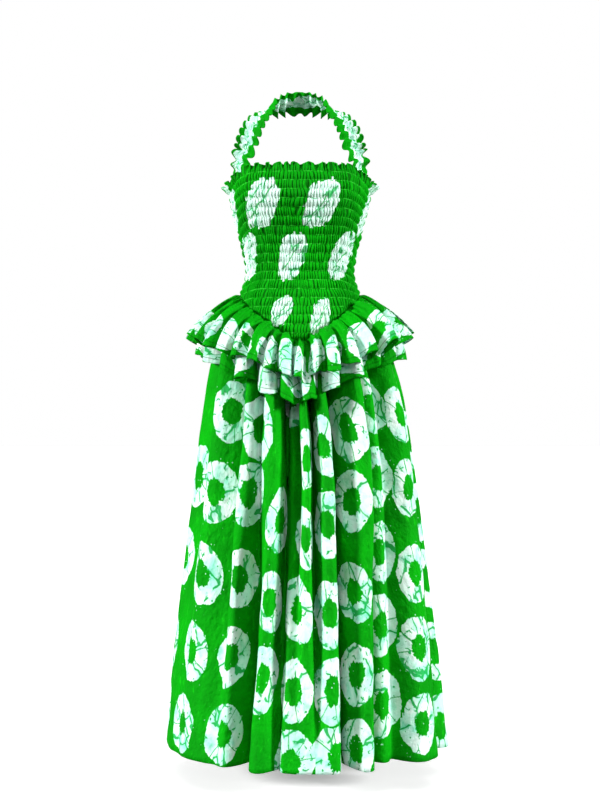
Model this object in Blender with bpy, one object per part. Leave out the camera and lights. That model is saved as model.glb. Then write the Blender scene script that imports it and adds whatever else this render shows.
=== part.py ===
"""A worn ankara wax print dress: shirred bodice, ruffled halter, two peplum ruffles and a long gathered skirt.

Metres, +Z up, front towards -Y. The origin is on the axis of the wearer's neck, level with the halter.
Angles go round the body from centre front, positive towards +X, so +-90 degrees are the side seams.
Every piece is a loft through sections, with an outer and an inner skin, and keeps a small gap at its seams.
"""

import math
from collections import namedtuple

import bmesh
import bpy
from mathutils import Vector

TAU = 2 * math.pi
QUARTER = math.pi / 2

# Cloth and seams
WALL = 0.0016
GAP = 0.0003
SEAM_TURN = 0.0013

# Heights
TOP_FRONT_Z = -0.142
TOP_SIDE_Z = -0.186
TOP_BACK_Z = -0.200
HIP_SIDE_Z = -0.435
HIP_BACK_Z = -0.455
V_TIP_Z = -0.545
V_TIP_ROUND = 0.10
V_TIP_GAP = 0.0030
V_TIP_TURN = math.radians(9)
HEM_Z = -1.448

# The figure that the dress is worn on: half width at the sides, and depth to the front and to the back.
Section = namedtuple("Section", "z half_width front back")
FIGURE = [
    Section(-0.120, 0.150, 0.100, 0.086),
    Section(-0.179, 0.157, 0.121, 0.091),
    Section(-0.216, 0.155, 0.127, 0.090),
    Section(-0.253, 0.147, 0.116, 0.087),
    Section(-0.290, 0.137, 0.103, 0.084),
    Section(-0.327, 0.128, 0.094, 0.081),
    Section(-0.364, 0.121, 0.089, 0.080),
    Section(-0.382, 0.119, 0.088, 0.081),
    Section(-0.410, 0.125, 0.092, 0.087),
    Section(-0.435, 0.137, 0.099, 0.097),
    Section(-0.480, 0.152, 0.110, 0.112),
    Section(-0.545, 0.164, 0.120, 0.126),
    Section(-0.640, 0.170, 0.126, 0.132),
]
FIGURE_SQUARENESS = 0.035

# Shirring: elastic rows a pitch apart, with the cloth puffed and gathered between them.
ROW_PITCH = 0.020
ROWS = 20
ROWS_LEVEL_Z = -0.60
GATHERS_PER_PANEL = 20
SNAP = 0.006
SEAM_FADE = 0.012
ROW_CREST = 0.0014
ROW_TROUGH = 0.0002
PUFF_CREST = 0.0034
PUFF_TROUGH = 0.0008
HEADING_WAVE = 0.0038
HEADING_FLARE = 0.019
INNER_ROW_STEP = 4

# Skirt
HEM = Section(HEM_Z, 0.312, 0.300, 0.292)
SKIRT_SHIFT_X = 0.011
SKIRT_SHIFT_BY = 0.35
BULGE = 0.064
BULGE_DEPTH = 0.12
FAN_TURN = math.radians(15)
FAN_POWER = 1.2
TOP_GATHER = 0.05
PLEAT_GROWTH = 0.75
HEM_LIFT = 0.25
SKIRT_ROWS = [0, 0.05, 0.13, 0.25, 0.42, 0.62, 0.82, 1.0]
SKIRT_STEPS_PER_PLEAT = 6
ROUNDING = 0.22

# A pleat is a crest and the valley after it: angles in degrees, heights in metres at the hem.
Pleat = namedtuple("Pleat", "crest crest_out valley valley_in")
SKIRT_PLEATS = [
    Pleat(3, 0.022, 14, 0.045),
    Pleat(22.5, 0.022, 30, 0.040),
    Pleat(46, 0.020, 61, 0.028),
    Pleat(76, 0.014, 89, 0.018),
    Pleat(104, 0.018, 116, 0.032),
    Pleat(128, 0.020, 140, 0.030),
    Pleat(153, 0.022, 164, 0.040),
    Pleat(176, 0.020, 187, 0.026),
    Pleat(199, 0.022, 211, 0.038),
    Pleat(223, 0.018, 235, 0.030),
    Pleat(247, 0.020, 259, 0.024),
    Pleat(272, 0.012, 284, 0.012),
    Pleat(298, 0.014, 315, 0.020),
    Pleat(328.5, 0.020, 338.5, 0.040),
    Pleat(346, 0.020, 353, 0.004),
]

# Peplum: a ruffle leaves the hip seam at one slope from the vertical and falls to another at its hem.
Ruffle = namedtuple("Ruffle", "length slope_top slope_hem lift clearance wave crests")
RUFFLES = {
    "upper": Ruffle(
        0.142, 68, 34, 0.0020, 0.0012, 0.0130,
        [-91, -67, -43, -31, -20, -10, -2, 6, 16, 30, 45, 62, 84,
         102, 119, 135, 151, 167, 183, 199, 216, 233, 250],
    ),
    "lower": Ruffle(
        0.160, 50, 9, -0.0040, 0.0043, 0.0095,
        [-84, -63, -43, -27, -12, 2, 14, 27, 44, 64, 86,
         105, 123, 141, 159, 177, 195, 213, 231, 250],
    ),
}
RUFFLE_ROWS = [0, 0.3, 0.65, 1.0]
RUFFLE_STEPS_PER_WAVE = 5
WAVE_GROWTH = 1.2
WAVE_VARIATION = 0.2
SLOPE_STEPS = 12

# Halter: the middle line of its half on the +X side, from inside the bodice to the nape, with the way it faces.
Station = namedtuple("Station", "x y z face_x face_y face_z")
HALTER = [
    Station(0.1310, -0.052, -0.130, 0.60, -0.74, 0.30),
    Station(0.1210, -0.055, -0.106, 0.48, -0.76, 0.42),
    Station(0.1120, -0.046, -0.074, 0.40, -0.66, 0.62),
    Station(0.0970, -0.026, -0.042, 0.38, -0.42, 0.82),
    Station(0.0790, 0.002, -0.019, 0.42, -0.08, 0.90),
    Station(0.0590, 0.031, 0.001, 0.55, 0.35, 0.76),
    Station(0.0320, 0.053, 0.012, 0.40, 0.70, 0.58),
    Station(0.0000, 0.060, 0.016, 0.00, 0.85, 0.52),
]
TUCK_TURN = math.radians(66)
TUCK_DEPTHS = [0.016, 0.003]
TUCK_CLEARANCE = 0.0042
HALTER_PLAIN_END = 0.022
HALTER_FULL_WAVE = 0.050
HALTER_HALF_WIDTH = 0.021
HALTER_RUFFLES = 26
HALTER_STEPS_PER_RUFFLE = 4
HALTER_WAVE = 0.0075
HALTER_MIDDLE_WAVE = 0.15
HALTER_SCALLOP = 0.0022
HALTER_ACROSS = [-1, -0.5, 0, 0.5, 1]

CLOTH_GREEN = (0.012, 0.36, 0.018, 1)
CLOTH_WHITE = (0.80, 0.88, 0.83, 1)
COTTON_ROUGHNESS = 0.8


def eased(x):
    """0 to 1 with a soft start and end."""
    x = min(1.0, max(0.0, x))
    return x * x * (3 - 2 * x)


def figure_at(z):
    """The figure's section at a height, from a smooth curve through the table."""
    if z >= FIGURE[0].z:
        return FIGURE[0]
    if z <= FIGURE[-1].z:
        return FIGURE[-1]
    i = next(k for k in range(len(FIGURE) - 1) if FIGURE[k + 1].z <= z)
    before, low, high, after = (FIGURE[min(max(k, 0), len(FIGURE) - 1)] for k in (i - 1, i, i + 1, i + 2))
    share = (z - low.z) / (high.z - low.z)
    values = [z]
    for a, b, c, d in list(zip(before, low, high, after))[1:]:
        start, end = (c - a) / 2, (d - b) / 2
        values.append(
            b + share * (start + share * (3 * (c - b) - 2 * start - end + share * (2 * (b - c) + start + end)))
        )
    return Section(*values)


def ring_point(section, turn):
    """A point of a section, at an angle from centre front."""
    side, ahead = math.sin(turn), math.cos(turn)
    square = 1 + FIGURE_SQUARENESS * math.sin(2 * turn) ** 2
    depth = section.front if ahead > 0 else section.back
    return Vector((section.half_width * side * square, -depth * ahead * square, section.z))


def ring_outward(section, turn):
    """The level direction straight out of a section."""
    side, ahead = math.sin(turn), math.cos(turn)
    depth = section.front if ahead > 0 else section.back
    return Vector((side / section.half_width, -ahead / depth, 0)).normalized()


def top_z(turn):
    """The bodice's top edge: level across the front, lower at the sides and the back."""
    round_front = abs(math.remainder(turn, TAU))
    side_share = eased((round_front - math.radians(38)) / math.radians(52))
    back_share = eased((round_front - QUARTER) / QUARTER)
    return TOP_FRONT_Z + (TOP_SIDE_Z - TOP_FRONT_Z) * side_share + (TOP_BACK_Z - TOP_SIDE_Z) * back_share


def hip_z(turn):
    """The hip seam: a V at the front, nearly level at the back."""
    if math.cos(turn) < 0:
        return HIP_SIDE_Z + (HIP_BACK_Z - HIP_SIDE_Z) * math.cos(turn) ** 2
    share = (1 - math.hypot(math.sin(turn), V_TIP_ROUND)) / (1 - V_TIP_ROUND)
    return HIP_SIDE_Z + (V_TIP_Z - HIP_SIDE_Z) * max(0.0, share)


def below_tip(turn):
    """How much lower the pieces under the V start at its tip, where their straight edges cut the corner."""
    return V_TIP_GAP * math.exp(-((math.remainder(turn, TAU) / V_TIP_TURN) ** 2))


def row_z(turn, row):
    """The height of a shirring row, kept above the hip seam. Rows follow the top edge and level out further down."""
    top = top_z(turn)
    drop = row * ROW_PITCH * (top - ROWS_LEVEL_Z) / (TOP_FRONT_Z - ROWS_LEVEL_Z)
    hip = hip_z(turn)
    return top - drop if top - drop > hip + SNAP else hip


def relief(turn, z, line, on_crest):
    """How far the shirred cloth stands out of the bodice's plain wall. Odd lines are the puffs between the rows."""
    crest, trough = (PUFF_CREST, PUFF_TROUGH) if line % 2 else (ROW_CREST, ROW_TROUGH)
    return (crest if on_crest else trough) * min(1.0, (z - hip_z(turn)) / SEAM_FADE)


def heading(turn, line, on_crest):
    """The free frill above the first row: its wave, and its flare under the arms."""
    wave = HEADING_WAVE if on_crest else -HEADING_WAVE
    return (wave + HEADING_FLARE * math.sin(turn) ** 8) * (1 - line / 2)


def panel_turns(start, end, count):
    """Angles from one side seam to the other, just short of each."""
    start, end = start + SEAM_TURN, end - SEAM_TURN
    return [start + (end - start) * i / count for i in range(count + 1)]


def add_quads(bm, rows, flip=False):
    """Faces between rows of vertices."""
    for upper, lower in zip(rows, rows[1:]):
        for i in range(len(upper) - 1):
            corners = [upper[i], lower[i], lower[i + 1], upper[i + 1]]
            bm.faces.new(corners[::-1] if flip else corners)


def finish_mesh(name, bm, material, collection):
    """Merges coinciding points, drops the faces that this leaves without a width, and makes the object."""
    bmesh.ops.remove_doubles(bm, verts=bm.verts, dist=1e-6)
    bmesh.ops.dissolve_degenerate(bm, dist=1e-6, edges=bm.edges)
    bmesh.ops.recalc_face_normals(bm, faces=bm.faces)
    mesh = bpy.data.meshes.new(name)
    bm.to_mesh(mesh)
    bm.free()
    mesh.shade_smooth()
    mesh.materials.append(material)
    obj = bpy.data.objects.new(name, mesh)
    collection.objects.link(obj)
    return obj


def close_wall(bm, outer, inner, inner_lines=None):
    """Joins two skins into one closed wall. inner_lines says which of the outer rows each inner row lies behind."""
    lines = inner_lines or list(range(len(outer)))
    out_verts = [[bm.verts.new(p) for p in row] for row in outer]
    in_verts = [[bm.verts.new(p) for p in row] for row in inner]
    add_quads(bm, out_verts)
    add_quads(bm, in_verts, flip=True)
    add_quads(bm, [in_verts[0], out_verts[0]])
    add_quads(bm, [out_verts[-1], in_verts[-1]])
    for (first, last), (upper, lower) in zip(zip(lines, lines[1:]), zip(in_verts, in_verts[1:])):
        for end in (0, -1):
            edge = [out_verts[line][end] for line in range(first, last + 1)]
            face = [*edge, lower[end], upper[end]]
            bm.faces.new(face if end else face[::-1])


def wall_object(name, outer, inner, material, collection, inner_lines=None):
    bm = bmesh.new()
    close_wall(bm, outer, inner, inner_lines)
    return finish_mesh(name, bm, material, collection)


def bodice_panel(name, start, end, material, collection):
    """A shirred panel: the gathers and puffs are raised in its outer skin, and its inner skin is plain."""
    turns = panel_turns(start, end, 2 * GATHERS_PER_PANEL)
    last_line = 2 * ROWS + 2
    inner_lines = [0, 1, *range(2, last_line, INNER_ROW_STEP), last_line]
    outer, inner = [], []
    for line in range(last_line + 1):
        out_row, in_row = [], []
        for column, turn in enumerate(turns):
            z = row_z(turn, line / 2) if line < last_line else hip_z(turn)
            section = figure_at(z)
            base, outward = ring_point(section, turn), ring_outward(section, turn)
            on_crest = column % 2 == 1
            wave = heading(turn, line, on_crest) if line < 2 else 0.0
            raised = wave if line < 2 else relief(turn, z, line, on_crest)
            out_row.append(base + outward * raised)
            in_row.append(base + outward * (wave - WALL))
        outer.append(out_row)
        if line in inner_lines:
            inner.append(in_row)
    return wall_object(name, outer, inner, material, collection, inner_lines)


def knots_of(pleats):
    """Crests and valleys in order round the body, as (angle, height, crest), with the first again at the end."""
    knots = []
    for p in pleats:
        knots += [(math.radians(p.crest), p.crest_out, True), (math.radians(p.valley), -p.valley_in, False)]
    angle, height, crest = knots[0]
    return knots + [(angle + TAU, height, crest)]


def pleat_at(knots, turn, radius):
    """(out, along): how far the pleats carry a point out, and along the cloth towards the valley."""
    turn = knots[0][0] + (turn - knots[0][0]) % TAU
    i = next(k for k in range(len(knots) - 1) if turn <= knots[k + 1][0])
    (a, high, from_crest), (b, low, _) = knots[i], knots[i + 1]
    share = (turn - a) / (b - a)
    out = high + (low - high) * (1 - math.cos(math.pi * share)) / 2
    reach = min(ROUNDING * (b - a) * radius, abs(high - low) / 2)
    return out, reach * math.sin(math.pi * share) * (1 if from_crest else -1)


def knot_turns(knots, steps, start, end):
    """Angles that meet each crest and valley, with steps for a whole pleat, from one side seam to the other."""
    half = steps // 2
    odd = steps % 2
    turns = []
    for (a, _, from_crest), (b, _, _) in zip(knots, knots[1:]):
        count = half + (odd if from_crest else 0)
        turns += [a + (b - a) * i / count for i in range(count)]
    turns = sorted((start + (turn - start) % TAU) for turn in turns)
    low, high = start + SEAM_TURN, end - SEAM_TURN
    spare = math.radians(0.9)
    return [low, *(t for t in turns if low + spare < t < high - spare), high]


def spread(start, end, drop, length):
    """A skirt's reach at a drop below the hip seam: it swells over the gathers, then widens evenly to the hem."""
    return start + BULGE * (1 - math.exp(-drop / BULGE_DEPTH)) + (end - start - BULGE) * drop / length


def skirt_point(knots, turn, share):
    """A point of the skirt: share is 0 at the hip seam and 1 at the hem."""
    placed = turn + FAN_TURN * math.sin(2 * turn) * (1 - share) ** FAN_POWER
    hip = hip_z(placed) - GAP - below_tip(placed)
    top = figure_at(hip)
    length = hip - HEM.z
    drop = share * length
    section = Section(hip - drop, *(spread(a, b, drop, length) for a, b in zip(top[1:], HEM[1:])))
    outward = ring_outward(section, placed)
    along = Vector((-outward.y, outward.x, 0))
    radius = (section.half_width + section.front) / 2
    out, side = pleat_at(knots, turn, radius)
    grown = TOP_GATHER + (1 - TOP_GATHER) * share**PLEAT_GROWTH
    point = ring_point(section, placed) + outward * out * grown + along * side * grown
    point.x += SKIRT_SHIFT_X * eased(share / SKIRT_SHIFT_BY)
    point.z -= HEM_LIFT * out * share
    return point


def ruffle_point(ruffle, knots, turn, share):
    """A point of a peplum ruffle: share is 0 at the hip seam and 1 at its hem."""
    z = hip_z(turn) + ruffle.lift - (below_tip(turn) if ruffle.lift < 0 else 0)
    section = figure_at(z)
    outward = ring_outward(section, turn)
    along = Vector((-outward.y, outward.x, 0))
    reach, drop = 0.0, 0.0
    for i in range(SLOPE_STEPS):
        middle = share * (i + 0.5) / SLOPE_STEPS
        slope = math.radians(ruffle.slope_top + (ruffle.slope_hem - ruffle.slope_top) * middle)
        reach += math.sin(slope) * ruffle.length * share / SLOPE_STEPS
        drop += math.cos(slope) * ruffle.length * share / SLOPE_STEPS
    slope = math.radians(ruffle.slope_top + (ruffle.slope_hem - ruffle.slope_top) * share)
    lifted = outward * math.cos(slope) + Vector((0, 0, math.sin(slope)))
    out, side = pleat_at(knots, turn, section.half_width + reach)
    point = ring_point(section, turn) + outward * (ruffle.clearance + reach) + Vector((0, 0, -drop))
    return point + lifted * out * share**WAVE_GROWTH + along * side * share


def normal_of(surface, turn, share):
    """The unit normal of a surface, pointing out of the garment, from small steps on it."""
    step = 1e-3
    low, high = max(0.0, share - step), min(1.0, share + step)
    round_it = surface(turn + step, share) - surface(turn - step, share)
    down_it = surface(turn, high) - surface(turn, low)
    return down_it.cross(round_it).normalized()


def draped_panel(name, surface, turns, shares, material, collection, level=False):
    """A wall on a surface that stands out from it by the cloth's thickness. level keeps both skins at one height."""
    outer, inner = [], []
    for share in shares:
        out_row, in_row = [], []
        for turn in turns:
            point, normal = surface(turn, share), normal_of(surface, turn, share)
            if level:
                normal = Vector((normal.x, normal.y, 0)).normalized()
                out_row.append(point)
                in_row.append(point - normal * WALL)
            else:
                out_row.append(point + normal * WALL)
                in_row.append(point)
        outer.append(out_row)
        inner.append(in_row)
    return wall_object(name, outer, inner, material, collection)


def ruffle_pleats(ruffle):
    """Crests and valleys of a ruffle, the valleys midway, with heights that vary a little from wave to wave."""
    crests = ruffle.crests
    ends = [*crests[1:], crests[0] + 360]
    pleats = []
    for i, (crest, following) in enumerate(zip(crests, ends)):
        wide = min(1.0, (following - crest) / 14)
        height = ruffle.wave * (1 + WAVE_VARIATION * math.sin(2.4 * i)) * (0.5 + 0.5 * wide)
        pleats.append(Pleat(crest, height, (crest + following) / 2, height))
    return pleats


def curve_through(points, count):
    """Points evenly spread by index along a smooth curve through the given vectors."""
    found = []
    for k in range(count + 1):
        place = k * (len(points) - 1) / count
        i = min(int(place), len(points) - 2)
        share = place - i
        before, low = points[max(i - 1, 0)], points[i]
        high, after = points[i + 1], points[min(i + 2, len(points) - 1)]
        start, end = (high - before) / 2, (after - low) / 2
        found.append(
            low + share * (start + share * (3 * (high - low) - 2 * start - end + share * (2 * (low - high) + start + end)))
        )
    return found


def tucked_stations():
    """The halter's ends, inside the bodice's top edge."""
    stations = []
    for depth in TUCK_DEPTHS:
        z = top_z(TUCK_TURN) - depth
        section = figure_at(z)
        outward = ring_outward(section, TUCK_TURN)
        place = ring_point(section, TUCK_TURN) - outward * (WALL + TUCK_CLEARANCE)
        stations.append(Station(*place, *outward))
    return stations


def halter_line():
    """The whole halter's middle line, the way it faces and the share of its wave, from end to end."""
    half = tucked_stations() + HALTER
    mirrored = [Station(-s.x, s.y, s.z, -s.face_x, s.face_y, s.face_z) for s in half]
    stations = half + mirrored[-2::-1]
    count = HALTER_RUFFLES * HALTER_STEPS_PER_RUFFLE
    fine = curve_through([Vector(s[:3]) for s in stations], 8 * count)
    faces = curve_through([Vector(s[3:]) for s in stations], 8 * count)
    travelled = [0.0]
    for a, b in zip(fine, fine[1:]):
        travelled.append(travelled[-1] + (b - a).length)
    line, facing, eases, k = [], [], [], 0
    for i in range(count + 1):
        target = travelled[-1] * i / count
        while travelled[k] < target - 1e-9:
            k += 1
        line.append(fine[k])
        facing.append(faces[k].normalized())
        from_end = min(target, travelled[-1] - target)
        eases.append(eased((from_end - HALTER_PLAIN_END) / (HALTER_FULL_WAVE - HALTER_PLAIN_END)))
    return line, facing, eases


def halter_strap(material, collection):
    """A gathered strap, ruffled along both edges."""
    line, facing, eases = halter_line()
    count = len(line) - 1
    outer, inner = [], []
    for i, (place, face, ease) in enumerate(zip(line, facing, eases)):
        ahead = (line[min(i + 1, count)] - line[max(i - 1, 0)]).normalized()
        across = ahead.cross(face).normalized()
        face = across.cross(ahead).normalized()
        phase = TAU * i / HALTER_STEPS_PER_RUFFLE
        out_row, in_row = [], []
        for share in HALTER_ACROSS:
            edge = HALTER_MIDDLE_WAVE + (1 - HALTER_MIDDLE_WAVE) * abs(share)
            wave = HALTER_WAVE * edge * math.sin(phase) * ease
            width = share * (HALTER_HALF_WIDTH + HALTER_SCALLOP * math.cos(2 * phase) * ease)
            point = place + across * width + face * wave
            out_row.append(point + face * WALL / 2)
            in_row.append(point - face * WALL / 2)
        outer.append(out_row)
        inner.append(in_row)
    return wall_object("halter_strap", outer, inner, material, collection)


def cloth_material(name, colour):
    material = bpy.data.materials.new(name)
    material.use_nodes = True
    shader = material.node_tree.nodes["Principled BSDF"]
    shader.inputs["Base Color"].default_value = colour
    shader.inputs["Roughness"].default_value = COTTON_ROUGHNESS
    shader.inputs["Metallic"].default_value = 0.0
    return material


def build():
    for obj in list(bpy.data.objects):
        bpy.data.objects.remove(obj)
    collection = bpy.data.collections.new("ankara_wax_print_dress")
    bpy.context.scene.collection.children.link(collection)
    green = cloth_material("shirred_green", CLOTH_GREEN)
    white = cloth_material("ring_print", CLOTH_WHITE)
    sides = {"front": (-QUARTER, QUARTER), "back": (QUARTER, 3 * QUARTER)}

    skirt_knots = knots_of(SKIRT_PLEATS)
    for side, (start, end) in sides.items():
        bodice_panel(f"bodice_{side}", start, end, green, collection)
        draped_panel(
            f"skirt_{side}",
            lambda turn, share: skirt_point(skirt_knots, turn, share),
            knot_turns(skirt_knots, SKIRT_STEPS_PER_PLEAT, start, end),
            SKIRT_ROWS, green, collection, level=True,
        )
        for place, ruffle in RUFFLES.items():
            knots = knots_of(ruffle_pleats(ruffle))
            draped_panel(
                f"peplum_{place}_{side}",
                lambda turn, share, r=ruffle, k=knots: ruffle_point(r, k, turn, share),
                knot_turns(knots, RUFFLE_STEPS_PER_WAVE, start, end),
                RUFFLE_ROWS, white, collection,
            )
    halter_strap(white, collection)


build()
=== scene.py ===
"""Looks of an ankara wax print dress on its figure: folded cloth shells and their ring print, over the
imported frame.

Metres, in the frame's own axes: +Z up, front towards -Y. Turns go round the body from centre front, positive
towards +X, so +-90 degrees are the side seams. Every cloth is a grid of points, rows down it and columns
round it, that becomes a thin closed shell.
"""

import math
from collections import namedtuple

import bpy
import numpy as np
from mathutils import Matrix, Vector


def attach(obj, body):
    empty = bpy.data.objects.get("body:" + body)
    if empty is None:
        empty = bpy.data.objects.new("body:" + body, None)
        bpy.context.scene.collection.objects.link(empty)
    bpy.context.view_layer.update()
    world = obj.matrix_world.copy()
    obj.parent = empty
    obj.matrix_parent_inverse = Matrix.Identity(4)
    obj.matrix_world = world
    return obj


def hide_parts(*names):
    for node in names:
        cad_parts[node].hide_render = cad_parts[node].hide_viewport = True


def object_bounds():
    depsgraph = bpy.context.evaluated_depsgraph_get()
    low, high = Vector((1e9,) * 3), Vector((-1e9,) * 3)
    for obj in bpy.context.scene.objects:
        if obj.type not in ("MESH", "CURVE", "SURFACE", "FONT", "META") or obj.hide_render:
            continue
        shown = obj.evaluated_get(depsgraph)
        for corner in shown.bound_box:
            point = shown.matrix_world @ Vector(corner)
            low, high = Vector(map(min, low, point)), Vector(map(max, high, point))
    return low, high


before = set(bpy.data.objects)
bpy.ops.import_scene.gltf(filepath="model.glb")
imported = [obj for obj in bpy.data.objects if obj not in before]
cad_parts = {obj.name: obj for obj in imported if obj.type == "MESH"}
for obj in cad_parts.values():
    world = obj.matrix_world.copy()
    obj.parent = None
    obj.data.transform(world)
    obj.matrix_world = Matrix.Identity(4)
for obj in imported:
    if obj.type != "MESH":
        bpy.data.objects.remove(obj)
cad_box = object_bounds()

TAU = 2 * math.pi
SIDES = {"front": (-90.0, 90.0), "back": (90.0, 270.0)}

# Heights of the dress, as in the CAD
TOP_FRONT_Z, TOP_SIDE_Z, TOP_BACK_Z = -0.142, -0.186, -0.200
HIP_SIDE_Z, HIP_BACK_Z, V_TIP_Z = -0.435, -0.455, -0.545
V_TIP_ROUND = 0.10
HEM_Z = -1.448

# The figure that fills the dress, as in the CAD
Section = namedtuple("Section", "z half_width front back")
FIGURE = [
    Section(-0.120, 0.150, 0.100, 0.086),
    Section(-0.179, 0.157, 0.121, 0.091),
    Section(-0.216, 0.155, 0.127, 0.090),
    Section(-0.253, 0.147, 0.116, 0.087),
    Section(-0.290, 0.137, 0.103, 0.084),
    Section(-0.327, 0.128, 0.094, 0.081),
    Section(-0.364, 0.121, 0.089, 0.080),
    Section(-0.382, 0.119, 0.088, 0.081),
    Section(-0.410, 0.125, 0.092, 0.087),
    Section(-0.435, 0.137, 0.099, 0.097),
    Section(-0.480, 0.152, 0.110, 0.112),
    Section(-0.545, 0.164, 0.120, 0.126),
    Section(-0.640, 0.170, 0.126, 0.132),
]
FIGURE_SQUARENESS = 0.035

# Thickness of the cloth, plain and drawn up by elastic
CLOTH = 0.0009
SHIRRED_CLOTH = 0.0012

# Shirring
ROW_PITCH = 0.020
ROWS_LEVEL_Z = -0.60
BODICE_ROWS = 104
BODICE_COLUMNS = 462
GATHERS_ROUND = 136
GATHER_DEPTH = 0.0050
ROW_DEPTH = 0.0020
HEADING_WAVES_ROUND = 76
HEADING_WAVE = 0.0058
HEADING_FLARE = 0.019
SEAM_FADE = 0.012

# Skirt
HEM = Section(HEM_Z, 0.312, 0.300, 0.292)
SKIRT_SHIFT_X = 0.011
SKIRT_SHIFT_BY = 0.35
BULGE = 0.064
BULGE_DEPTH = 0.12
HEM_LIFT = 0.08
SKIRT_START = 0.0015
SKIRT_ROWS = 88
SKIRT_STEP = 0.0052
FOLDS_TOP_Z = -0.778
FOLD_FULL_DROP = 0.11

# A fold line: +1 for a crest and -1 for a valley, its turn and height at the top and at the hem, and which of
# a valley's neighbours lies over it there: -1 the one before, +1 the one after, 0 neither.
Fold = namedtuple(
    "Fold", "kind turn_top turn_hem height_top height_hem cover_top cover_hem", defaults=(0, 0)
)
SKIRT_FOLDS = [
    Fold(1, -87, -86, 0.010, 0.006),
    Fold(-1, -64, -64, 0.009, -0.003, -0.4, 0),
    Fold(1, -55, -52, 0.014, 0.004),
    Fold(-1, -34.5, -38, 0.046, -0.001, 0.8, 0.1),
    Fold(1, -30.5, -33, 0.014, 0.008),
    Fold(-1, -25.5, -22.5, 0.016, 0.074, -0.7, 1),
    Fold(1, -15.3, -17.5, 0.020, 0.024),
    Fold(-1, -11.7, -10.2, 0.078, 0.010, -1, 0.4),
    Fold(1, -7.0, -7.5, -0.032, 0.016),
    Fold(-1, -2.4, -3.7, 0.046, -0.020, 0.9, 0),
    Fold(1, 1.3, 0, 0.018, 0.020),
    Fold(-1, 4.3, 3.7, 0.070, -0.020, -0.9, -0.1),
    Fold(1, 9.8, 9.8, 0.020, 0.023),
    Fold(-1, 14.9, 14.7, 0.078, 0.092, -1, -1),
    Fold(1, 29.5, 23, 0.021, 0.023),
    Fold(-1, 35.5, 27.5, 0.048, 0.064, -1, -1),
    Fold(1, 43.5, 34.5, -0.016, -0.020),
    Fold(-1, 50, 40.5, 0.030, 0.034, 0.4, 0.4),
    Fold(1, 59, 51, 0.018, 0.022),
    Fold(-1, 76, 64, 0.026, 0.050, -0.8, -1),
    Fold(1, 87, 75, 0.012, 0.018),
    Fold(-1, 96, 88, 0.014, 0.018, -0.3, -0.3),
    Fold(1, 104, 104, 0.014, 0.020),
    Fold(-1, 117, 116, 0.040, 0.048, 1, 1),
    Fold(1, 127, 128, 0.016, 0.022),
    Fold(-1, 139, 140, 0.034, 0.042, -0.8, -0.8),
    Fold(1, 153, 153, 0.016, 0.024),
    Fold(-1, 165, 164, 0.044, 0.054, 1, 1),
    Fold(1, 175, 176, 0.016, 0.022),
    Fold(-1, 186, 187, 0.024, 0.034, -0.4, -0.4),
    Fold(1, 200, 199, 0.016, 0.024),
    Fold(-1, 210, 211, 0.042, 0.050, -1, -1),
    Fold(1, 224, 223, 0.014, 0.020),
    Fold(-1, 236, 235, 0.032, 0.040, 0.8, 0.8),
    Fold(1, 248, 247, 0.014, 0.022),
    Fold(-1, 260, 259, 0.020, 0.026, -0.3, -0.3),
]

# Creases in the cloth between the folds: size round it, size down it and depth. They grow below the seam.
Crease = namedtuple("Crease", "across down depth")
SKIRT_CREASES = [
    Crease(0.070, 0.300, 0.0026),
    Crease(0.024, 0.180, 0.0022),
    Crease(0.030, 0.040, 0.0010),
]
CREASES_FULL_DROP = 0.05

# Ring print of the skirt: half sizes of a ring on the cloth, how much rings vary in size and in lean, and the
# columns of rings down the front, with each ring's height.
RING_HALF_WIDTH = 0.057
RING_HALF_HEIGHT = 0.071
RING_VARIATION = 0.07
RING_LEAN = 0.12
RingColumn = namedtuple("RingColumn", "turn_top turn_hem heights")
FRONT_RINGS = [
    RingColumn(-71, -93, [-0.84, -1.03, -1.21, -1.37]),
    RingColumn(-46.5, -60, [-0.70, -0.87, -1.05, -1.22, -1.38]),
    RingColumn(-26, -35, [-0.73, -0.87, -1.05, -1.22, -1.38]),
    RingColumn(-10, -20, [-0.66, -0.93, -1.10, -1.26]),
    RingColumn(1, -6, [-0.80, -0.96, -1.12, -1.28, -1.43]),
    RingColumn(8.5, 12, [-0.77, -0.94, -1.12, -1.28, -1.42]),
    RingColumn(23.5, 20, [-0.73, -0.89, -1.08, -1.25, -1.41]),
    RingColumn(44, 34, [-0.68, -0.84, -1.00, -1.16, -1.32]),
    RingColumn(61, 48.5, [-0.70, -0.87, -1.05, -1.21, -1.37]),
    RingColumn(84, 72, [-0.76, -0.92, -1.08, -1.24, -1.40]),
    RingColumn(102, 93, [-0.82, -0.98, -1.14, -1.30, -1.43]),
]

# The back's columns: turns between which they stand, degrees apart, and the rings of each, every second
# column half a pitch lower.
BACK_RINGS_START, BACK_RINGS_END = 106.0, 256.0
BACK_RING_TURN = 18.4
BACK_RINGS_TOP_Z = -0.56
BACK_RINGS_DOWN = 6
BACK_RING_SHIFT = 0.012
RING_PITCH = 0.162

# Peplum: slopes are degrees from the vertical, at the seam and at the hem. front_rise is added to the one at
# the seam at centre front. Crests are turns from there.
Ruffle = namedtuple(
    "Ruffle", "length slope_top slope_hem front_rise lift clearance wave ring_drop ring_start crests"
)
RUFFLES = {
    "upper": Ruffle(
        0.148, 56, 32, 38, 0.0020, 0.0012, 0.0270, 0.106, 0.01,
        [-91, -79, -67, -55, -44, -34, -25, -17, -8, 0, 8, 17, 27, 39, 52, 66, 79, 90,
         102, 119, 135, 151, 167, 183, 199, 216, 233, 250],
    ),
    "lower": Ruffle(
        0.160, 54, 2, 10, -0.0040, 0.0043, 0.0230, 0.112, 0.07,
        [-84, -65, -47, -32, -18, -6, 5, 17, 31, 47, 66, 86,
         105, 123, 141, 159, 177, 195, 213, 231, 250],
    ),
}
RUFFLE_ROWS = 44
RUFFLE_STEP = 0.0042
RUFFLE_RADIUS = 0.22
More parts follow.
